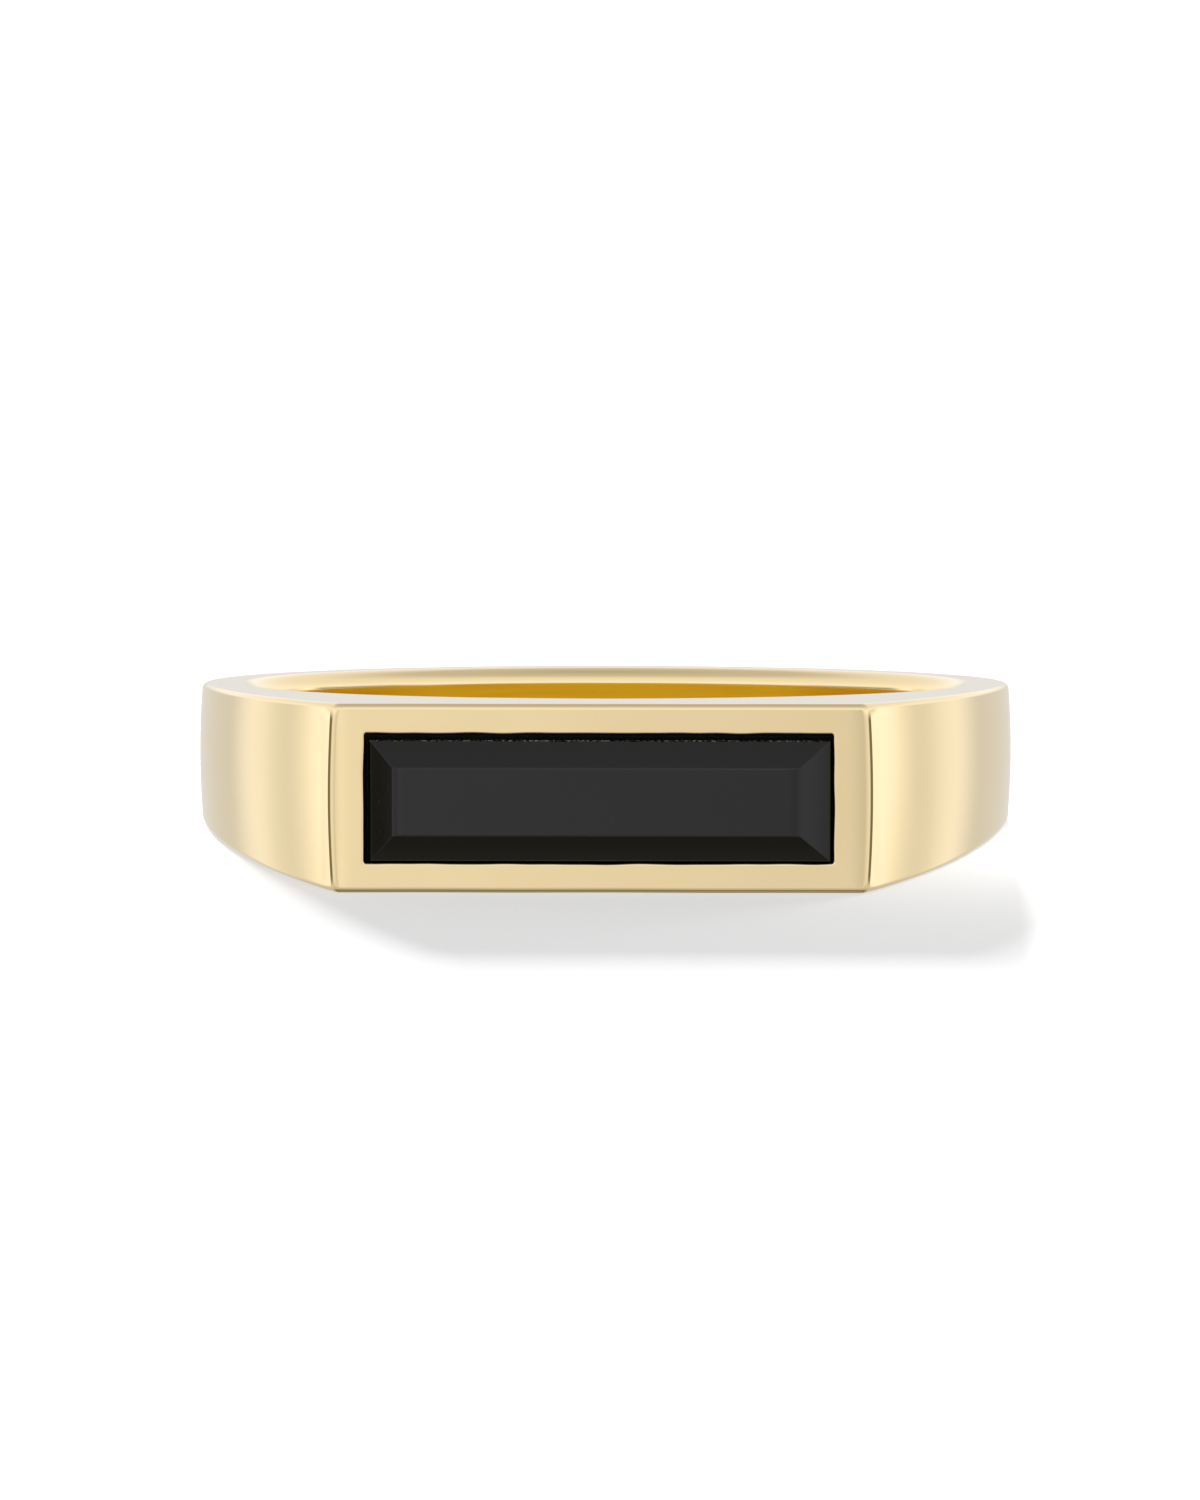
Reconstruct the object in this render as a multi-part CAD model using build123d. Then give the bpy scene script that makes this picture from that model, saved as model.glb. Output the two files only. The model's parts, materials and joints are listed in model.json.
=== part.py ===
"""A low rectangular signet ring.

The band and its flat head are one gold casting that tapers to the back. A bevelled onyx tablet is cemented
into a blind pocket in the head.

Frame: the origin is the centre of the finger hole. +Z runs along the finger, and the head faces -Y, so +Y is
the back of the band. Sizes are millimetres. Depths are measured from the flat face of the head to the finger.
"""

from build123d import *
import math
import os

# Finger hole and band
FINGER_DIAMETER = 17.3  # US ring size 7
BAND_THICKNESS = 1.4  # at the sides and the back
BACK_WIDTH = 2.35  # along the finger, at the back of the band

# Head
FACE_WIDTH = 12.65
FACE_HEIGHT = 4.47  # along the finger
FACE_DISTANCE = 11.7  # from the finger axis to the flat face
FLANK_RADIUS = 27.0  # the curve that carries the band forward to the head's corners

# Polished edges
RIM_ROUND = 0.14  # outer edges of the two tapering sides
FINGER_ROUND = 0.42  # edges of the finger hole
CORNER_ROUND = 0.2  # between the face and the flanks

# Onyx tablet
STONE_WIDTH = 10.78
STONE_HEIGHT = 2.85
STONE_THICKNESS = 1.75  # table to flat back
STONE_DROP = 0.06  # the tablet sits this far below the middle of its opening
BEVEL_WIDTH = 0.62  # of the four facets round the table, seen from the front
BEVEL_RISE = 0.45
GIRDLE_DEPTH = 0.05  # where the bevels meet the upright sides
BACK_CHAMFER = 0.2

# Setting
STONE_GAP = 0.1  # mean gap between tablet and opening, filled with cement
OPENING_CORNER = 0.1
LIP_ROUND = 0.05  # burnished edge of the opening
CEMENT_BED = 0.05  # under the tablet
CEMENT_DEPTH = 0.24  # where the cement stops, below the face

# Worked out from the sizes above
FINGER_RADIUS = FINGER_DIAMETER / 2
OUTER_RADIUS = FINGER_RADIUS + BAND_THICKNESS
OPENING_WIDTH = STONE_WIDTH + 2 * STONE_GAP
OPENING_HEIGHT = STONE_HEIGHT + 2 * STONE_GAP
TABLE_DEPTH = GIRDLE_DEPTH - BEVEL_RISE  # negative: the table stands proud of the face
STONE_BACK_DEPTH = TABLE_DEPTH + STONE_THICKNESS
SEAT_DEPTH = STONE_BACK_DEPTH + CEMENT_BED

PAST = 1.0  # how far a cutting shape runs past what it cuts
CLOSE = 0.01  # tolerance for finding an edge by its place
MOSTLY_UPWARD = 0.9  # least Z part of the normal of a tapering side


def on_circle(centre, radius, angle):
    """The point at an angle in radians on a circle in the XY plane."""
    return (centre[0] + radius * math.cos(angle), centre[1] + radius * math.sin(angle))


def mirrored(point):
    return (-point[0], point[1])


def outline():
    """The ring seen along the finger, without its hole: face, two flanks and the round back.

    Each flank is an arc that ends at the head's corner and runs into the band's circle without a kink. So its
    centre lies FLANK_RADIUS - OUTER_RADIUS from the finger axis, and the triangle of axis, corner and centre
    gives its place.
    """
    corner = (FACE_WIDTH / 2, -FACE_DISTANCE)
    corner_reach = math.hypot(*corner)
    corner_angle = math.atan2(corner[1], corner[0])
    centre_reach = FLANK_RADIUS - OUTER_RADIUS
    squares = centre_reach**2 + corner_reach**2 - FLANK_RADIUS**2
    centre_angle = corner_angle - math.acos(squares / (2 * centre_reach * corner_reach))
    centre = on_circle((0, 0), centre_reach, centre_angle)
    join = on_circle((0, 0), OUTER_RADIUS, centre_angle + math.pi)
    start_angle = math.atan2(join[1] - centre[1], join[0] - centre[0])
    end_angle = math.atan2(corner[1] - centre[1], corner[0] - centre[0])
    middle = on_circle(centre, FLANK_RADIUS, (start_angle + end_angle) / 2)
    edges = [
        Line(mirrored(corner), corner),
        ThreePointArc(corner, middle, join),
        ThreePointArc(join, (0, OUTER_RADIUS), mirrored(join)),
        ThreePointArc(mirrored(join), mirrored(middle), mirrored(corner)),
    ]
    return make_face(Curve() + edges)


def taper():
    """The wedge, seen from the side, that narrows the ring from its face to its back."""
    lower = [(-FACE_DISTANCE, -FACE_HEIGHT / 2), (OUTER_RADIUS, -BACK_WIDTH / 2)]
    upper = [(OUTER_RADIUS, BACK_WIDTH / 2), (-FACE_DISTANCE, FACE_HEIGHT / 2)]
    side_view = Plane.YZ * make_face(Polyline(*lower, *upper, close=True))
    return extrude(side_view, amount=OUTER_RADIUS + PAST, both=True)


def plane_at(depth, drop=0.0):
    """The plane at a depth behind the face, facing the finger, with its x axis along the head."""
    return Plane((0, -FACE_DISTANCE + depth, -drop), x_dir=(1, 0, 0), z_dir=(0, 1, 0))


def block(width, height, corner, near, far):
    """A block with rounded upright corners, from depth near to depth far."""
    return extrude(plane_at(near) * RectangleRounded(width, height, corner), amount=far - near)


def edges_of_sides(solid):
    """The outer and the inner edges of the two flat tapering sides."""
    outer, inner = ShapeList(), ShapeList()
    for face in solid.faces().filter_by(GeomType.PLANE):
        if abs(face.normal_at().Z) > MOSTLY_UPWARD:
            outer += face.outer_wire().edges()
            for wire in face.inner_wires():
                inner += wire.edges()
    return outer, inner


def edges_on_face(solid):
    """The edges of the opening where it breaks through the flat face of the head."""
    face = solid.faces().filter_by(GeomType.PLANE).sort_by(Axis.Y)[0]
    return ShapeList([edge for wire in face.inner_wires() for edge in wire.edges()])


def ring_body():
    """The casting: outline and taper, finger hole, rounds, and the pocket for the tablet."""
    body = extrude(outline(), amount=FACE_HEIGHT, both=True) & taper()
    body -= Cylinder(FINGER_RADIUS, 2 * FACE_HEIGHT)
    upright_edges = body.edges().filter_by(Axis.Z)
    head_corners = upright_edges.filter_by_position(Axis.Y, -FACE_DISTANCE, -FACE_DISTANCE)
    body = fillet(head_corners, CORNER_ROUND)
    body = fillet(edges_of_sides(body)[0], RIM_ROUND)
    body = fillet(edges_of_sides(body)[1], FINGER_ROUND)
    body -= block(OPENING_WIDTH, OPENING_HEIGHT, OPENING_CORNER, -PAST, SEAT_DEPTH)
    return fillet(edges_on_face(body), LIP_ROUND)


def onyx_stone():
    """The tablet: table, four bevels, upright sides and a flat back with a small chamfer."""
    girdle = plane_at(GIRDLE_DEPTH, STONE_DROP)
    table = girdle.offset(-BEVEL_RISE)
    girdle_outline = girdle * Rectangle(STONE_WIDTH, STONE_HEIGHT)
    table_outline = table * Rectangle(STONE_WIDTH - 2 * BEVEL_WIDTH, STONE_HEIGHT - 2 * BEVEL_WIDTH)
    crown = loft([table_outline, girdle_outline])
    sides = extrude(girdle_outline, amount=STONE_BACK_DEPTH - GIRDLE_DEPTH)
    stone = crown + sides
    back = STONE_BACK_DEPTH - FACE_DISTANCE
    back_edges = stone.edges().filter_by_position(Axis.Y, back - CLOSE, back + CLOSE)
    return chamfer(back_edges, BACK_CHAMFER)


def stone_cement():
    """The cured bed between tablet and gold: a tray with a thin floor and upright walls."""
    return block(OPENING_WIDTH, OPENING_HEIGHT, OPENING_CORNER, CEMENT_DEPTH, SEAT_DEPTH) - onyx_stone()


def main():
    os.makedirs("parts", exist_ok=True)
    for build in (ring_body, onyx_stone, stone_cement):
        export_step(build(), f"parts/{build.__name__}.step")


main()
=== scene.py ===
"""The looks of a low rectangular signet ring: polished gold, a bevelled onyx tablet and its black cement.

Shapes are worked out in millimetres and turned into metres when a mesh is made. The frame is the CAD model's:
the finger hole runs along Z, the head faces -Y and the ring lies on one of its two tapering sides.
"""

import json
import math

import bmesh
import bpy
import numpy as np
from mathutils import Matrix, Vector, noise


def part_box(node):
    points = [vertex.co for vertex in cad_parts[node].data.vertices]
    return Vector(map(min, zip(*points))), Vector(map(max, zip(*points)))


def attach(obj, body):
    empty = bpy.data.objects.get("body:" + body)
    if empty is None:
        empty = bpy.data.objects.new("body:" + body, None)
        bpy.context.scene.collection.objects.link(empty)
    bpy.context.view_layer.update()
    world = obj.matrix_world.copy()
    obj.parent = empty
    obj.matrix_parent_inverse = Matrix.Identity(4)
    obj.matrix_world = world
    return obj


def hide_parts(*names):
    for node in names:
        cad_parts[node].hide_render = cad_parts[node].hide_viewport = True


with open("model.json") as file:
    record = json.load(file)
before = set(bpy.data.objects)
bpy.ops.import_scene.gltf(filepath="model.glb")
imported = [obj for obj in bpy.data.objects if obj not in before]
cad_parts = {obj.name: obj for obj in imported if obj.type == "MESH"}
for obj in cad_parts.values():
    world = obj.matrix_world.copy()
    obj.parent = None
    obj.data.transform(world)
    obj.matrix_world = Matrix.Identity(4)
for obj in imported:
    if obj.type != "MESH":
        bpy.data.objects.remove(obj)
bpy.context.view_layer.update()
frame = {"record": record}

MM = 0.001  # metres
SEED = 7
noise.seed_set(SEED)  # without a seed, noise vectors start from the clock

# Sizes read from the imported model
mounts = {mount["name"]: mount for mount in frame["record"]["mounts"]}
body_low, body_high = (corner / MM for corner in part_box("ring_body"))
stone_low, stone_high = (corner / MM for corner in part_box("onyx_stone"))
cement_low, cement_high = (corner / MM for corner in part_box("stone_cement"))
rest_normal = Vector(mounts["side_rest"]["axis"])
rest_point = Vector(mounts["side_rest"]["pos_m"]) / MM
FINGER_RADIUS = mounts["finger_bore"]["dims"]["r_mm"]
OUTER_RADIUS = body_high.y
FACE_Y = body_low.y
SEAT_Y = cement_high.y
SIDE_SLOPE = rest_normal.y / rest_normal.z
SIDE_HEIGHT = -rest_point.z + rest_point.y * SIDE_SLOPE

# Gold body
FACE_WIDTH = 12.65
FLANK_RADIUS = 27.0
CORNER_ROUND = 0.2
RIM_ROUND = 0.14
FINGER_ROUND = 0.42
LIP_ROUND = 0.05
OPENING_CORNER = 0.06
OPENING_SHIFT = (-0.03, 0)  # the opening was cut slightly off centre
CROWN = 0.06  # how far flanks and band fall back from their middle to their rims

# Hand polishing
END_ROLL_WIDTH = 0.33  # strip at each end of the face that rolls off towards the corner
END_ROLL_DEPTH = 0.008
EDGE_ROLL_WIDTH = 0.45  # strip along the face's long edges that rolls off towards the rim
EDGE_ROLL_DEPTH = 0.010
EDGE_ROLL_REACH = 0.4
ROLL_REACH = 3.0  # how far down the flank the roll-off dies away
UPPER_TUCK = (0.07, 0.45)  # how far the upper corners of the head are polished inwards, over what height
LOWER_TUCK = (0.05, 0.35)
TUCK_FACE_REACH = 0.5
TUCK_FLANK_REACH = 0.2
WAVE_LENGTH = 2.4
WAVE_HEIGHT = 0.005
LIP_WAVE_LENGTH = 0.8
LIP_WAVES = np.array([0.028, 0.002, 0.028])  # how far the opening's edge strays along each axis
LIP_WAVE_REACH = 0.07  # from the edge of the opening
LIP_WAVE_DEPTH = 0.15

# Onyx tablet
BEVEL_WIDTH = 0.62  # seen from the front
TABLE_SHIFT = np.array([-0.085, 0, 0.02])  # the table was ground slightly off centre
TABLE_CUT = np.array([0.03, 0, 0.02])  # and its edges a little further in
GIRDLE_DEPTH = 0.05
BACK_CHAMFER = 0.2
FACET_EDGE = 0.012  # polished-off width of the facets' edges
STONE_CORNER = 0.015
FACET_BULGE = 0.006  # hand-lapped bevels are a little convex
CHIP_LENGTH = 0.035
CHIP_DEPTH = 0.03

# Cement
SKIN = 0.004  # clearance between cement and its neighbours
MENISCUS = 0.05  # how far the cement's surface sinks between gold and stone

# Mesh density
ARC_STEPS = 6  # half of each rounded corner of a block of quads
CORNER_STEPS = 9
FLANK_STEPS = 60
BACK_STEPS = 72
ROUND_STEPS = 8
FLANK_EASING = 1.6  # above 1, stations on the flank crowd towards the head
# Rows across a flat stretch, close together at its ends
EASED = [0.015, 0.06, 0.2, 0.4, 0.6, 0.8, 0.94, 0.985]
# Rows between the opening and the rim, and stations between the opening and the head's corner
ROW_MARGIN = np.array([0.25, 0.5, 0.7, 0.85, 0.95, 1.0])
STATION_MARGIN = np.array([0.3, 0.55, 0.75, 0.88, 0.96, 1.0])
# Degrees round the finger hole that stations 0 to 4 of the outline are joined to
BORE_ANGLES = np.array([0, 40, 42, 86, 180])


# ---------- shapes seen along the finger ----------

def polar(radius, angle):
    return np.array([radius * math.cos(angle), radius * math.sin(angle)])


def flank_centre():
    """Centre of the +X flank's arc, from the head's corner smoothly into the band's circle."""
    corner = np.array([FACE_WIDTH / 2, FACE_Y])
    reach = np.hypot(*corner)
    centre_reach = FLANK_RADIUS - OUTER_RADIUS
    cosine = (centre_reach**2 + reach**2 - FLANK_RADIUS**2) / (2 * centre_reach * reach)
    return polar(centre_reach, math.atan2(corner[1], corner[0]) - math.acos(cosine))


FLANK_CENTRE = flank_centre()
JOIN_ANGLE = math.atan2(-FLANK_CENTRE[1], -FLANK_CENTRE[0])


def corner_centre(inset):
    """Centre of the round between face and flank, with the flank moved inwards by inset."""
    y = FACE_Y + CORNER_ROUND
    reach = FLANK_RADIUS - inset - CORNER_ROUND
    return np.array([FLANK_CENTRE[0] + math.sqrt(reach**2 - (y - FLANK_CENTRE[1]) ** 2), y])


FACE_END = corner_centre(0)[0]


def outline(station, inset):
    """Point and outward normal on the ring's outline seen along the finger.

    Station 0 is the middle of the face and 4 the middle of the back: 0 to 1 is the face, 1 to 2 the corner's
    round, 2 to 3 the flank and 3 to 4 the back of the band. Negative stations are the -X side.
    """
    side = math.copysign(1, station)
    stretch = min(int(abs(station)), 3)
    t = abs(station) - stretch
    corner = corner_centre(inset)
    corner_angle = math.atan2(*(corner - FLANK_CENTRE)[::-1])
    if stretch == 0:
        centre, radius, angle = np.array([t * corner[0], 0]), -FACE_Y, -math.pi / 2
    elif stretch == 1:
        centre, radius, angle = corner, CORNER_ROUND, -math.pi / 2 + t * (corner_angle + math.pi / 2)
    elif stretch == 2:
        angle = corner_angle + t * (JOIN_ANGLE - corner_angle)
        centre, radius = FLANK_CENTRE, FLANK_RADIUS - inset
    else:
        centre, radius, angle = np.zeros(2), OUTER_RADIUS - inset, JOIN_ANGLE + t * (math.pi / 2 - JOIN_ANGLE)
    flip = np.array([side, 1])
    return (centre + polar(radius, angle)) * flip, polar(1, angle) * flip


def side_z(y):
    """Height of the upper tapering side."""
    return SIDE_HEIGHT + SIDE_SLOPE * y


# ---------- blocks of quads ----------

class Block:
    """A rounded rectangle filled with quads: columns along X, rows along Z."""

    def __init__(self, across_steps, upright_steps):
        self.across_steps = across_steps
        self.upright_steps = upright_steps
        self.columns = across_steps + 2 * ARC_STEPS
        self.rows = upright_steps + 2 * ARC_STEPS

    def loop(self, half_width, half_height, corner):
        """The points x, z round the rectangle, from the middle of its lower left corner."""
        signs = [(-1, -1), (1, -1), (1, 1), (-1, 1)]
        centres = [np.array([(half_width - corner) * a, (half_height - corner) * b]) for a, b in signs]
        quarter = math.pi / 4
        points = []
        for side in range(4):
            start, end = centres[side], centres[(side + 1) % 4]
            facing = 3 * math.pi / 2 + side * math.pi / 2
            steps = (self.across_steps, self.upright_steps)[side % 2]
            turns = [quarter * i / ARC_STEPS for i in range(ARC_STEPS)]
            points += [start + polar(corner, facing - quarter + turn) for turn in turns]
            points += [start + (end - start) * i / steps + polar(corner, facing) for i in range(steps)]
            points += [end + polar(corner, facing + turn) for turn in turns]
        return np.array(points)

    def edge(self):
        """Column and row of each vertex round the block, in the order of loop."""
        lower = [(i, 0) for i in range(self.columns)]
        right = [(self.columns, j) for j in range(self.rows)]
        upper = [(self.columns - i, self.rows) for i in range(self.columns)]
        left = [(0, self.rows - j) for j in range(self.rows)]
        return lower + right + upper + left

    def filled(self, loop):
        """Points of the block, stretched between the points of a loop round it."""
        grid = np.zeros((self.columns + 1, self.rows + 1, 3))
        for (i, j), point in zip(self.edge(), loop):
            grid[i, j] = point
        u = np.linspace(0, 1, self.columns + 1)[:, None, None]
        v = np.linspace(0, 1, self.rows + 1)[None, :, None]
        across = (1 - u) * grid[:1] + u * grid[-1:]
        upright = (1 - v) * grid[:, :1] + v * grid[:, -1:]
        left = (1 - v) * grid[0, 0] + v * grid[0, -1]
        right = (1 - v) * grid[-1, 0] + v * grid[-1, -1]
        return across + upright - (1 - u) * left - u * right


HEAD = Block(60, 16)
TABLET = Block(200, 48)


def at_depth(loop, y):
    """Places x, z points at a y, or at one y for each point."""
    return np.column_stack([loop[:, 0], np.broadcast_to(y, len(loop)), loop[:, 1]])


# ---------- mesh building ----------

class MeshParts:
    """Vertices and faces of one piece while it is put together."""

    def __init__(self):
        self.points = []
        self.faces = []

    def add_points(self, points):
        """Adds points and returns their numbers, in the same array shape."""
        points = np.asarray(points, float)
        flat = points.reshape(-1, 3)
        start = len(self.points)
        self.points.extend(flat)
        return np.arange(start, start + len(flat)).reshape(points.shape[:-1])

    def add_grid(self, numbers, skip=lambda i, j: False):
        """Adds the quads between neighbouring rows and columns of vertex numbers."""
        for i in range(numbers.shape[0] - 1):
            for j in range(numbers.shape[1] - 1):
                if not skip(i, j):
                    quad = (numbers[i, j], numbers[i + 1, j], numbers[i + 1, j + 1], numbers[i, j + 1])
                    self.faces.append(tuple(int(n) for n in quad))

    def add_tube(self, loops):
        """Joins closed loops of vertex numbers, each to the next."""
        numbers = np.array(loops)
        self.add_grid(np.column_stack([numbers, numbers[:, 0]]))

    def add_lid(self, block, loop, numbers):
        """Fills a closed loop of points, which have these vertex numbers already, with a block."""
        grid = self.add_points(block.filled(loop))
        for (i, j), n in zip(block.edge(), numbers):
            grid[i, j] = n
        self.add_grid(grid)

    def make(self, name, finish=lambda point: point):
        """The finished object, in metres, smooth and with its normals outwards."""
        used = sorted({n for face in self.faces for n in face})
        renumber = {old: new for new, old in enumerate(used)}
        mesh = bpy.data.meshes.new(name)
        points = [tuple(finish(self.points[n]) * MM) for n in used]
        mesh.from_pydata(points, [], [tuple(renumber[n] for n in face) for face in self.faces])
        outwards(mesh)
        mesh.polygons.foreach_set("use_smooth", [True] * len(mesh.polygons))
        return link(bpy.data.objects.new(name, mesh))


def outwards(mesh):
    """Turns every face the same way, with the normals outwards."""
    work = bmesh.new()
    work.from_mesh(mesh)
    bmesh.ops.recalc_face_normals(work, faces=work.faces)
    work.to_mesh(mesh)
    work.free()
    mesh.update()


def link(made):
    bpy.context.scene.collection.objects.link(made)
    return made


def blend(a, b, steps):
    """Loops of points at each step from a to b."""
    return [a + (b - a) * step for step in steps]


def drift(point, length):
    """A smooth random vector, each part within 1, that changes over a length."""
    return np.array(noise.noise_vector(Vector(point) / length))


# ---------- gold body ----------

def straight_end():
    """Station where the straight part of the opening ends."""
    return (cement_high.x - OPENING_CORNER) / FACE_END


def stations():
    """Stations round the ring from the middle of the back, past the face, to the middle of the back again."""
    straight = np.linspace(0, straight_end(), HEAD.across_steps // 2 + 1)[1:]
    margin = straight_end() + (1 - straight_end()) * STATION_MARGIN
    corner = np.linspace(1, 2, CORNER_STEPS + 1)[1:]
    flank = 2 + np.linspace(0, 1, FLANK_STEPS + 1)[1:] ** FLANK_EASING
    back = np.linspace(3, 4, BACK_STEPS + 1)[1:]
    half = np.concatenate([straight, margin, corner, flank, back])
    return np.concatenate([-half[::-1], [0], half[:-1]])


def bore_direction(station):
    """Direction from the axis in which a station's section meets the finger hole."""
    turn = np.interp(abs(station), range(len(BORE_ANGLES)), np.radians(BORE_ANGLES))
    angle = math.copysign(turn, station)
    return np.array([math.sin(angle), -math.cos(angle)])


def row_shares(straight_share):
    """Shares from -1 to 1 of the half height for the rows of the outer wall, in step with the opening."""
    straight = np.linspace(0, straight_share, HEAD.upright_steps // 2 + 1)
    margin = straight_share + (1 - straight_share) * ROW_MARGIN
    half = np.concatenate([straight, margin])
    return np.concatenate([-half[:0:-1], half])


def outer_wall(station, lean):
    """Rows of the outer wall from its lower to its upper edge, crowned by lean on flanks and back."""
    front_half = side_z(FACE_Y) - RIM_ROUND
    shares = row_shares((cement_high.z - OPENING_CORNER) / front_half)
    rows = []
    for share in shares:
        point, _ = outline(station, CROWN * share**2)
        rim, _ = outline(station, CROWN)
        height = side_z(rim[1]) - RIM_ROUND * (1 - math.sin(lean))
        rows.append((point[0], point[1], share * height))
    return rows


def rim_and_side(station, lean):
    """Rows of the upper rim's round, then of the tapering side up to the finger hole's round."""
    rim, normal = outline(station, CROWN)
    rows = []
    for i in range(1, ROUND_STEPS + 1):
        turn = lean + (math.pi / 2 - lean) * i / ROUND_STEPS
        x, y = rim - normal * RIM_ROUND * (math.cos(lean) - math.cos(turn))
        rows.append((x, y, side_z(y) - RIM_ROUND * (1 - math.sin(turn))))
    start = np.array(rows[-1][:2])
    end = (FINGER_RADIUS + FINGER_ROUND) * bore_direction(station)
    for x, y in blend(start, end, EASED):
        rows.append((x, y, side_z(y)))
    return rows


def finger_round(station):
    """Rows of the round at the upper edge of the finger hole, down to the hole's wall."""
    rows = []
    for i in range(ROUND_STEPS + 1):
        turn = math.pi / 2 * i / ROUND_STEPS
        x, y = (FINGER_RADIUS + FINGER_ROUND * (1 - math.sin(turn))) * bore_direction(station)
        rows.append((x, y, side_z(y) - FINGER_ROUND * (1 - math.cos(turn))))
    return rows


def section(station):
    """The closed section at a station: up outside, over the upper side, down the finger hole and back."""
    crowned = min(max(abs(station) - 1, 0), 1)
    lean = crowned * math.atan(2 * CROWN / side_z(0))
    outer = outer_wall(station, lean)
    upper = rim_and_side(station, lean) + finger_round(station)
    x, y, top = upper[-1]
    bore = [(x, y, top * share) for share in np.linspace(1, -1, HEAD.rows + 1)[1:-1]]
    lower = [(x, y, -z) for x, y, z in upper[::-1]]
    return outer + upper + bore + lower


def opening_loop(out, y):
    """The opening's outline at a y, wider by out on every side."""
    loop = HEAD.loop(cement_high.x + out, cement_high.z + out, OPENING_CORNER + max(out, 0))
    return at_depth(loop + OPENING_SHIFT, y)


def pocket_loops(face_edge):
    """Loops from the face inwards: over the lip, down the pocket's wall and in to its floor's corners."""
    loops = blend(face_edge, opening_loop(LIP_ROUND, FACE_Y), EASED)
    for i in range(ROUND_STEPS + 1):
        turn = math.pi / 2 * i / ROUND_STEPS
        out = LIP_ROUND * (1 - math.sin(turn))
        loops.append(opening_loop(out, FACE_Y + LIP_ROUND * (1 - math.cos(turn))))
    return loops + blend(opening_loop(0, FACE_Y + LIP_ROUND), opening_loop(0, SEAT_Y), EASED + [1.0])


def past(value, limit, width):
    """How far a value is past a limit, as a share of a width, but no more than 2."""
    return min(max(value - limit, 0) / width, 2)


def tuck(x, z):
    """How far a point near a corner of the head is pulled towards the middle of the face."""
    depth, height = UPPER_TUCK if z > 0 else LOWER_TUCK
    rise = min(max(1 - (side_z(FACE_Y) - abs(z)) / height, 0), 1)
    from_corner = abs(x) - FACE_END
    reach = TUCK_FLANK_REACH if from_corner > 0 else TUCK_FACE_REACH
    return math.copysign(depth * rise**2 * math.exp(-((from_corner / reach) ** 2)), x)


def hand_polished(point):
    """A point after polishing: rolled off at the face's edges, tucked in at its corners and a bit wavy."""
    x, y, z = point
    fade = max(1 - (y - FACE_Y) / ROLL_REACH, 0)
    end_roll = END_ROLL_DEPTH * past(abs(x), FACE_END - END_ROLL_WIDTH, END_ROLL_WIDTH) ** 2
    edge = side_z(FACE_Y) - RIM_ROUND - EDGE_ROLL_WIDTH
    edge_fade = max(1 - (y - FACE_Y) / EDGE_ROLL_REACH, 0)
    edge_roll = EDGE_ROLL_DEPTH * edge_fade * past(abs(z), edge, EDGE_ROLL_WIDTH) ** 2
    from_opening = max(abs(x - OPENING_SHIFT[0]) - cement_high.x, abs(z) - cement_high.z)
    near_lip = math.exp(-((from_opening / LIP_WAVE_REACH) ** 2)) * max(1 - (y - FACE_Y) / LIP_WAVE_DEPTH, 0)
    waves = WAVE_HEIGHT * drift(point, WAVE_LENGTH) + near_lip * LIP_WAVES * drift(point, LIP_WAVE_LENGTH)
    return point + waves + fade * np.array([-tuck(x, z), end_roll + edge_roll, 0])


def gold_body():
    """The ring's body: sections swept round the finger hole, with the pocket let into the face."""
    parts = MeshParts()
    places = stations()
    grid = parts.add_points([section(station) for station in places])
    first = int(np.argmin(abs(places + 1)))

    def over_pocket(i, j):
        return first <= i < first + HEAD.columns and j < HEAD.rows

    closed = np.vstack([grid, grid[:1]])
    parts.add_grid(np.column_stack([closed, closed[:, 0]]), skip=over_pocket)
    face_edge = [grid[first + i, j] for i, j in HEAD.edge()]
    loops = pocket_loops(np.array(parts.points)[face_edge])
    numbers = [face_edge] + [parts.add_points(loop) for loop in loops]
    parts.add_tube(numbers)
    parts.add_lid(HEAD, loops[-1], numbers[-1])
    return parts.make("gold_body", hand_polished)


# ---------- onyx tablet ----------

def stone_loop(block, shrink, y):
    """The tablet's outline at a y, smaller than its girdle by shrink on every side."""
    half_width = stone_high.x - shrink
    half_height = (stone_high.z - stone_low.z) / 2 - shrink
    loop = block.loop(half_width, half_height, STONE_CORNER)
    loop[:, 1] += (stone_high.z + stone_low.z) / 2
    return at_depth(loop, y)


def crown_loop(share):
    """A loop on the bevels, from the table's edge at share 0 to the girdle at share 1."""
    girdle_y = FACE_Y + GIRDLE_DEPTH
    bulge = FACET_BULGE * math.sin(math.pi * share)
    shrink = BEVEL_WIDTH * (1 - share) - bulge
    loop = stone_loop(TABLET, shrink, stone_low.y + (girdle_y - stone_low.y) * share - bulge)
    middle = np.array((stone_low + stone_high) / 2)
    half_size = np.array((stone_high - stone_low) / 2)
    return loop + (1 - share) * (TABLE_SHIFT - TABLE_CUT * (loop - middle) / half_size)


def chipped(loop):
    """The girdle's edge with small random chips along its upper side."""
    for point in loop:
        if point[2] > stone_high.z - FACET_EDGE - STONE_CORNER:
            chip = max(noise.noise(Vector((point[0] / CHIP_LENGTH, 0, 0))) - 0.1, 0)
            point += chip * CHIP_DEPTH * np.array([0, 1, -1])
    return loop


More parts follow.
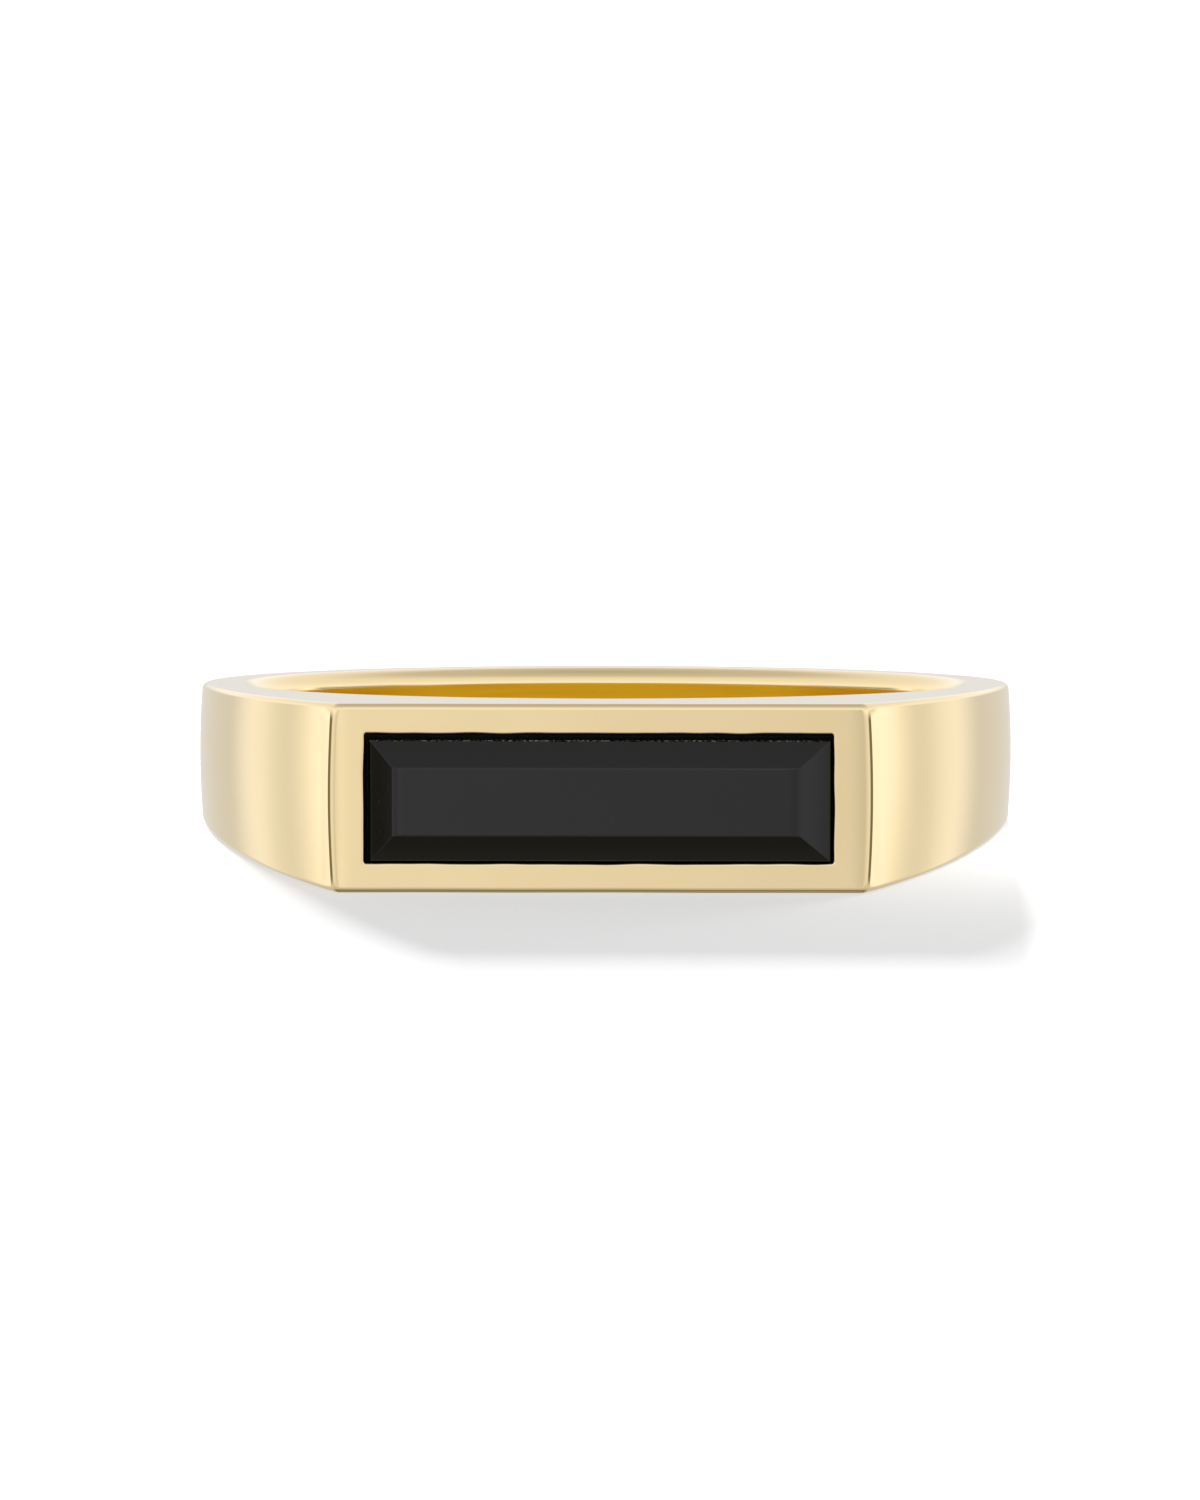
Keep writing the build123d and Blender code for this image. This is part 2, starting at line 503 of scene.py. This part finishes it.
def onyx_tablet():
    """The tablet: loops from the table over the bevels and sides to the back, with a lid at each end."""
    edge = FACET_EDGE / BEVEL_WIDTH
    table = crown_loop(0)
    middle = table.mean(axis=0)
    loops = [
        middle + (table - middle) * (1 - 3 * edge),
        middle + (table - middle) * (1 - edge),
        *(crown_loop(share) for share in [edge, 3 * edge, 0.2, 0.35, 0.5, 0.65, 0.8, 1 - 3 * edge]),
        chipped(crown_loop(1 - edge)),
        chipped(stone_loop(TABLET, 0, FACE_Y + GIRDLE_DEPTH + FACET_EDGE)),
        stone_loop(TABLET, 0, FACE_Y + GIRDLE_DEPTH + 3 * FACET_EDGE),
        stone_loop(TABLET, 0, stone_high.y - BACK_CHAMFER - FACET_EDGE),
        stone_loop(TABLET, 0, stone_high.y - BACK_CHAMFER),
        stone_loop(TABLET, BACK_CHAMFER, stone_high.y),
        stone_loop(TABLET, BACK_CHAMFER + FACET_EDGE, stone_high.y),
    ]
    parts = MeshParts()
    numbers = [parts.add_points(loop) for loop in loops]
    parts.add_tube(numbers)
    parts.add_lid(TABLET, loops[0], numbers[0])
    parts.add_lid(TABLET, loops[-1], numbers[-1])
    return parts.make("onyx_tablet")


# ---------- cement ----------

def meniscus(inner, outer):
    """Loops over the cement's sunken surface between stone and gold."""
    loops = []
    for share in (0.1, 0.3, 0.5, 0.7, 0.9):
        loop = inner + (outer - inner) * share
        loop[:, 1] += MENISCUS * math.sin(math.pi * share)
        loops.append(loop)
    return loops


def cement_bed():
    """The cement as a tray: under the stone, up its sides, over the meniscus and down the pocket's wall."""
    under = stone_high.y + SKIN
    floor_end = stone_loop(HEAD, BACK_CHAMFER, under)
    chamfer_end = stone_loop(HEAD, -SKIN, under - BACK_CHAMFER)
    inner_top = stone_loop(HEAD, -SKIN, cement_low.y)
    outer_top = opening_loop(-SKIN, cement_low.y)
    outer_end = opening_loop(-SKIN, SEAT_Y - SKIN)
    loops = [floor_end]
    loops += blend(floor_end, chamfer_end, [0.5, 1.0])
    loops += blend(chamfer_end, inner_top, [0.5, 0.95, 1.0])
    loops += meniscus(inner_top, outer_top)
    loops += blend(outer_top, outer_end, [0, 0.05, 0.5, 0.95, 1.0])
    parts = MeshParts()
    numbers = [parts.add_points(loop) for loop in loops]
    parts.add_tube(numbers)
    parts.add_lid(HEAD, loops[0], numbers[0])
    parts.add_lid(HEAD, loops[-1], numbers[-1])
    return parts.make("black_cement")


# ---------- shader nodes ----------

def node(tree, kind, inputs=None, **properties):
    """Adds a shader node. Inputs are values, or sockets to link."""
    made = tree.nodes.new("ShaderNode" + kind)
    for name, value in properties.items():
        setattr(made, name, value)
    for name, value in (inputs or {}).items():
        if isinstance(value, bpy.types.NodeSocket):
            tree.links.new(value, made.inputs[name])
        else:
            made.inputs[name].default_value = value
    return made


def maths(tree, operation, first, second=0.0):
    return node(tree, "Math", {0: first, 1: second}, operation=operation).outputs[0]


def mapped(tree, value, low, high, new_low=0.0, new_high=1.0):
    """A value smoothly mapped from one range to another, and held at the ends."""
    inputs = {"Value": value, "From Min": low, "From Max": high, "To Min": new_low, "To Max": new_high}
    return node(tree, "MapRange", inputs, interpolation_type="SMOOTHSTEP").outputs["Result"]


def mixed(tree, share, first, second):
    """A mix of two numbers."""
    return node(tree, "Mix", {0: share, 2: first, 3: second}).outputs[0]


def mixed_colour(tree, share, first, second):
    """A mix of two colours."""
    return node(tree, "Mix", {0: share, 6: first, 7: second}, data_type="RGBA").outputs[2]


def noise_texture(tree, place, scale, detail=2.0):
    return node(tree, "TexNoise", {"Vector": place, "Scale": scale, "Detail": detail}).outputs["Fac"]


def stretched(tree, place, factors):
    """A place scaled by a factor along each axis."""
    return node(tree, "VectorMath", {0: place, 1: factors}, operation="MULTIPLY").outputs[0]


def new_material(name):
    """A material with an empty Principled shader, and its object coordinates in millimetres."""
    material = bpy.data.materials.new(name)
    material.use_nodes = True
    tree = material.node_tree
    tree.nodes.clear()
    shader = node(tree, "BsdfPrincipled")
    node(tree, "OutputMaterial", {"Surface": shader.outputs["BSDF"]})
    metres = node(tree, "TexCoord").outputs["Object"]
    place = node(tree, "VectorMath", {0: metres, "Scale": 1 / MM}, operation="SCALE").outputs[0]
    return material, tree, shader, place


def add_relief(tree, shader, height):
    """Adds a height in millimetres to a shader's surface."""
    bump = node(tree, "Bump", {"Height": height, "Distance": MM, "Strength": 1.0})
    tree.links.new(bump.outputs["Normal"], shader.inputs["Normal"])


# ---------- materials ----------

PALE_GOLD = (0.955, 0.765, 0.435, 1)
WARM_GOLD = (0.975, 0.79, 0.46, 1)
# Painted shade: a darker, deeper amber for the gold inside the finger hole, for light that reaches it only
# after many bounces
BORE_SHADE_GOLD = (0.82, 0.505, 0.025, 1)  # unseen by the sky, inside the finger hole
POLISHED_RELIEF = 0.00012  # mm
SATIN_RELIEF = 0.0006
ONYX_BLACK = (0.0015, 0.0015, 0.0016, 1)
ONYX_VEIN = (0.0035, 0.0034, 0.0036, 1)
ONYX_GROUND = (0.5, 0.5, 0.5, 1)
ONYX_IOR = 1.48
SCRATCH_RELIEF = 0.0003  # mm
PIT_DEPTH = 0.002
# Black of the setting cement; in the thin gap round the stone it is also painted shade for the gap's depth
CEMENT_AND_GAP_SHADE_BLACK = (0.001, 0.001, 0.001, 1)
CEMENT_BROWN = (0.005, 0.0045, 0.004, 1)
CEMENT_RELIEF = 0.02  # mm


def facing_finger(tree, place):
    """1 on the wall of the finger hole, where the surface faces the axis, and 0 elsewhere."""
    flat = stretched(tree, place, (1, 1, 0))
    from_axis = node(tree, "VectorMath", {0: flat}, operation="NORMALIZE").outputs[0]
    normal = node(tree, "NewGeometry").outputs["Normal"]
    facing = node(tree, "VectorMath", {0: normal, 1: from_axis}, operation="DOT_PRODUCT").outputs["Value"]
    return mapped(tree, facing, -0.9997, -0.996, 1, 0)


def satin_texture(tree, place):
    """Streaks that run round the finger hole."""
    part = node(tree, "SeparateXYZ", {0: place}).outputs
    angle = maths(tree, "ARCTAN2", part["X"], part["Y"])
    along = maths(tree, "MULTIPLY", angle, 2.0)
    across = maths(tree, "MULTIPLY", part["Z"], 14.0)
    return noise_texture(tree, node(tree, "CombineXYZ", {0: along, 1: across}).outputs[0], 1.0)


def gold():
    """Polished gold: soft clouds and hairlines outside, satin running round the inside of the finger hole,
    where the colour is a painted shade of deeper amber.
    """
    material, tree, shader, place = new_material("polished_gold")
    shader.inputs["Metallic"].default_value = 1.0
    inside = facing_finger(tree, place)

    cloud = noise_texture(tree, place, 0.5, 3.0)
    pale = mixed_colour(tree, cloud, PALE_GOLD, WARM_GOLD)
    # inside the finger hole the base colour turns to the painted shade
    tree.links.new(mixed_colour(tree, inside, pale, BORE_SHADE_GOLD), shader.inputs["Base Color"])

    hairlines = noise_texture(tree, stretched(tree, place, (0.6, 0.6, 18.0)), 1.0)
    satin = satin_texture(tree, place)
    polish = mapped(tree, cloud, 0.3, 0.7, 0.05, 0.085)
    outside = maths(tree, "ADD", polish, mapped(tree, hairlines, 0.62, 0.75, 0, 0.04))
    rough = mixed(tree, inside, outside, mapped(tree, satin, 0.3, 0.7, 0.28, 0.36))
    tree.links.new(rough, shader.inputs["Roughness"])

    grain = noise_texture(tree, place, 25.0)
    polished_height = maths(tree, "MULTIPLY", maths(tree, "ADD", hairlines, grain), POLISHED_RELIEF)
    satin_height = maths(tree, "MULTIPLY", satin, SATIN_RELIEF)
    add_relief(tree, shader, mixed(tree, inside, polished_height, satin_height))
    return material


def ground_edge(tree, place):
    """Where the upper girdle was ground and left unpolished: 1 on the grains of a thin broken line."""
    part = node(tree, "SeparateXYZ", {0: place}).outputs
    near_top = mapped(tree, part["Z"], stone_high.z - 0.025, stone_high.z - 0.005)
    girdle_y = FACE_Y + GIRDLE_DEPTH
    near_girdle = mapped(tree, part["Y"], girdle_y + 0.08, girdle_y + 0.15, 1, 0)
    grains = mapped(tree, noise_texture(tree, place, 16.0), 0.47, 0.6)
    patches = mapped(tree, noise_texture(tree, place, 0.7), 0.35, 0.6, 0.25, 1)
    edge = maths(tree, "MULTIPLY", near_top, near_girdle)
    return maths(tree, "MULTIPLY", edge, maths(tree, "MULTIPLY", grains, patches))


def onyx():
    """Polished black onyx with pits, fine scratches, handling haze and one rough edge."""
    material, tree, shader, place = new_material("black_onyx")
    vein = noise_texture(tree, stretched(tree, place, (0.4, 1.0, 1.6)), 0.8, 4.0)
    ground = ground_edge(tree, place)
    colour = mixed_colour(tree, ground, mixed_colour(tree, vein, ONYX_BLACK, ONYX_VEIN), ONYX_GROUND)
    tree.links.new(colour, shader.inputs["Base Color"])
    shader.inputs["IOR"].default_value = ONYX_IOR

    spots = node(tree, "TexVoronoi", {"Vector": place, "Scale": 5.0}).outputs["Distance"]
    pits = mapped(tree, spots, 0.03, 0.09, 1, 0)
    scratches = noise_texture(tree, stretched(tree, place, (2.0, 8.0, 22.0)), 1.0, 3.0)
    haze = noise_texture(tree, place, 1.2, 4.0)
    rough = maths(tree, "ADD", mapped(tree, haze, 0.35, 0.7, 0.06, 0.13), maths(tree, "MULTIPLY", pits, 0.25))
    tree.links.new(mixed(tree, ground, rough, 0.6), shader.inputs["Roughness"])
    scratch_height = maths(tree, "MULTIPLY", scratches, SCRATCH_RELIEF)
    pit_height = maths(tree, "MULTIPLY", pits, -PIT_DEPTH)
    add_relief(tree, shader, maths(tree, "ADD", scratch_height, pit_height))
    return material


def cement():
    """Black epoxy, matte and slightly lumpy. Its black in the thin gap round the stone is also painted shade
    for the gap's unlit depth.
    """
    material, tree, shader, place = new_material("black_cement")
    lumps = noise_texture(tree, place, 9.0, 4.0)
    tree.links.new(mixed_colour(tree, lumps, CEMENT_AND_GAP_SHADE_BLACK, CEMENT_BROWN), shader.inputs["Base Color"])
    tree.links.new(mapped(tree, lumps, 0.3, 0.7, 0.5, 0.8), shader.inputs["Roughness"])
    shader.inputs["Specular IOR Level"].default_value = 0.15
    add_relief(tree, shader, maths(tree, "MULTIPLY", lumps, CEMENT_RELIEF))
    return material


# ---------- studio ----------

CAMERA_DISTANCE = 200.0
CAMERA_ELEVATION = 5.75  # degrees, from the ring's middle plane
CAMERA_AZIMUTH = 0.6
CAMERA_AIM = Vector((-0.136, 0, -0.033))
LENS = 193.4
SENSOR = 36.0

# Lamps behind the ring: azimuth from -Y towards +X, elevation, softness in degrees, strength. The floor is
# overexposed, so only where both are hidden is there a shadow to see.
LAMPS = [(-163, 26.9, 8.0, 6.2), (180, 11.5, 3.0, 18.0)]
GLOW_PLACE = Vector((12, -6, 4))  # from where the right flank seems to light the floor
GLOW_STRENGTH = 0.0018  # watts
GLOW_SIZE = 2.0
FLOOR_REACH = 1.5  # metres
FLOOR_GREY = 0.4
FLOOR_GLOW = 0.58
FILL = 0.3  # light from the studio on the floor
BACKDROP = 1.1

# Brightness of the studio round the ring, as mirrored in the metal and the stone: a plain pale room with two
# soft boxes at each side. The numbers are round, and the same on both sides but for the front wall.
PEAK = 1.6  # brightest value the ramps can hold
FRONT_WALL = [(-10, 1.0), (10, 0.6)]  # by degrees of azimuth from -Y towards +X: brighter to the left
SIDE_WALLS = [  # by degrees of azimuth away from -Y
    (0, 0.7),
    (60, 0.9),
    (80, 0.2),  # unlit gap between the front wall and the soft boxes
    (110, 0.2),
    (120, 1.2),  # large soft box
    (130, 0.8),
    (140, 1.0),  # small soft box
    (150, 0.7),
    (180, 0.8),
]
CEILING = [(0, 1.1), (30, 0.9), (60, 0.6), (90, 0.5)]  # by degrees of elevation
GROUND = [(0, 0.9), (30, 0.6), (70, 0.2), (90, 0.4)]  # by degrees below the horizon
FRONT_WALL_END = (5, 10)  # degrees of azimuth over which the front wall gives way to the side walls
CEILING_START = (0, 10)  # degrees of elevation over which the walls give way to the ceiling
GROUND_START = (10, 20)
# The colour of each brightness: dim parts of the studio are warm and bright parts a little cool
SHADES = [
    (0, (0, 0, 0)),
    (0.2, (0.2, 0.18, 0.12)),
    (0.6, (0.6, 0.6, 0.6)),
    (1.0, (1.0, 1.0, 1.0)),
    (PEAK, (1.6, 1.6, 1.8)),
]
SHADES_PEAK = 2.0


def colour_ramp(tree, value, stops, interpolation="EASE"):
    """Colour that runs smoothly from stop to stop."""
    first, last = stops[0][0], stops[-1][0]
    share = node(tree, "MapRange", {"Value": value, "From Min": first, "From Max": last}).outputs["Result"]
    made = node(tree, "ValToRGB", {0: share})
    made.color_ramp.interpolation = interpolation
    elements = made.color_ramp.elements
    for number, (place, colour) in enumerate(stops):
        position = (place - first) / (last - first)
        element = elements[number] if number < 2 else elements.new(position)
        element.position = position
        element.color = (*colour, 1)
    return made.outputs["Color"]


def ramp(tree, value, stops):
    """Brightness that runs smoothly from stop to stop."""
    colours = [(place, (brightness / PEAK,) * 3) for place, brightness in stops]
    return maths(tree, "MULTIPLY", colour_ramp(tree, value, colours), PEAK)


def walls(tree, signed_azimuth):
    """Brightness of the walls round the ring."""
    front = ramp(tree, signed_azimuth, FRONT_WALL)
    azimuth = maths(tree, "ABSOLUTE", signed_azimuth)
    return mixed(tree, mapped(tree, azimuth, *FRONT_WALL_END), front, ramp(tree, azimuth, SIDE_WALLS))


def mirrored_studio(tree):
    """Colour of the studio in the direction of a ray, as a share of SHADES_PEAK."""
    part = node(tree, "SeparateXYZ", {0: node(tree, "TexCoord").outputs["Generated"]}).outputs
    forwards = maths(tree, "MULTIPLY", part["Y"], -1.0)
    signed_azimuth = maths(tree, "DEGREES", maths(tree, "ARCTAN2", part["X"], forwards))
    elevation = maths(tree, "DEGREES", maths(tree, "ARCSINE", part["Z"]))
    depth = maths(tree, "MULTIPLY", elevation, -1.0)

    over = mapped(tree, elevation, *CEILING_START)
    upper = mixed(tree, over, walls(tree, signed_azimuth), ramp(tree, elevation, CEILING))
    brightness = mixed(tree, mapped(tree, depth, *GROUND_START), upper, ramp(tree, depth, GROUND))
    shades = [(place, tuple(channel / SHADES_PEAK for channel in shade)) for place, shade in SHADES]
    return colour_ramp(tree, brightness, shades, "LINEAR")


def background(tree, colour, strength):
    return node(tree, "Background", {"Color": colour, "Strength": strength}).outputs[0]


def studio_world():
    """White to the camera, dim to the floor, and walls, lamps and flags to everything that mirrors them."""
    world = bpy.data.worlds.new("studio")
    bpy.context.scene.world = world
    world.use_nodes = True
    tree = world.node_tree
    tree.nodes.clear()
    path = node(tree, "LightPath").outputs
    mirrored = background(tree, mirrored_studio(tree), SHADES_PEAK)
    fill = background(tree, (1, 1, 1, 1), FILL)
    unseen = node(tree, "MixShader", {0: path["Is Diffuse Ray"], 1: mirrored, 2: fill}).outputs[0]
    white = background(tree, (1, 1, 1, 1), BACKDROP)
    shown = node(tree, "MixShader", {0: path["Is Camera Ray"], 1: unseen, 2: white}).outputs[0]
    node(tree, "OutputWorld", {"Surface": shown})


def floor():
    """A white floor under the rest face, bright of its own so that its only shadow is the lamps'."""
    up = -rest_normal.normalized()
    right = Vector((1, 0, 0))
    away = up.cross(right).normalized()
    middle = (rest_point - up * WAVE_HEIGHT) * MM
    corners = [middle + (right * a + away * b) * FLOOR_REACH for a, b in ((-1, -1), (1, -1), (1, 1), (-1, 1))]
    mesh = bpy.data.meshes.new("floor")
    mesh.from_pydata(corners, [], [(0, 1, 2, 3)])
    made = link(bpy.data.objects.new("floor", mesh))
    material, tree, shader, place = new_material("white_floor")
    paper = mapped(tree, noise_texture(tree, place, 3.0), 0.3, 0.7, FLOOR_GREY - 0.01, FLOOR_GREY)
    tree.links.new(paper, shader.inputs["Base Color"])
    shader.inputs["Roughness"].default_value = 1.0
    shader.inputs["Emission Color"].default_value = (1, 1, 1, 1)
    shader.inputs["Emission Strength"].default_value = FLOOR_GLOW
    mesh.materials.append(material)
    made.visible_glossy = False


def direction_to(azimuth, elevation):
    """Unit vector towards an azimuth from -Y to +X and an elevation, both in degrees."""
    flat = math.cos(math.radians(elevation))
    turn = math.radians(azimuth)
    return Vector((flat * math.sin(turn), -flat * math.cos(turn), math.sin(math.radians(elevation))))


def lamp(azimuth, elevation, softness, strength):
    """A lamp behind the ring that casts its shadow forwards. The metal doesn't mirror it."""
    light = bpy.data.lights.new("lamp", "SUN")
    light.angle = math.radians(softness)
    light.energy = strength
    made = link(bpy.data.objects.new("lamp", light))
    made.rotation_euler = direction_to(azimuth, elevation).to_track_quat("Z", "Y").to_euler()
    made.visible_glossy = False


def flank_glow():
    """Light that the polished +X flank throws on the floor beside it."""
    light = bpy.data.lights.new("flank_glow", "POINT")
    light.energy = GLOW_STRENGTH
    light.shadow_soft_size = GLOW_SIZE * MM
    made = link(bpy.data.objects.new("flank_glow", light))
    made.location = GLOW_PLACE * MM
    made.visible_glossy = False


def camera():
    lens = bpy.data.cameras.new("camera")
    lens.lens = LENS
    lens.sensor_width = SENSOR
    lens.clip_start = 0.001
    made = link(bpy.data.objects.new("camera", lens))
    place = direction_to(CAMERA_AZIMUTH, CAMERA_ELEVATION) * CAMERA_DISTANCE
    made.location = place * MM
    made.rotation_euler = (place - CAMERA_AIM).to_track_quat("Z", "Y").to_euler()
    bpy.context.scene.camera = made


def dress(piece, material, node_name):
    """Gives a piece its material, and lets it stand for a CAD node."""
    piece.data.materials.append(material)
    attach(piece, "root")
    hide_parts(node_name)


dress(gold_body(), gold(), "ring_body")
dress(onyx_tablet(), onyx(), "onyx_stone")
dress(cement_bed(), cement(), "stone_cement")
studio_world()
floor()
for values in LAMPS:
    lamp(*values)
flank_glow()
camera()
bpy.context.scene.view_settings.view_transform = "Standard"
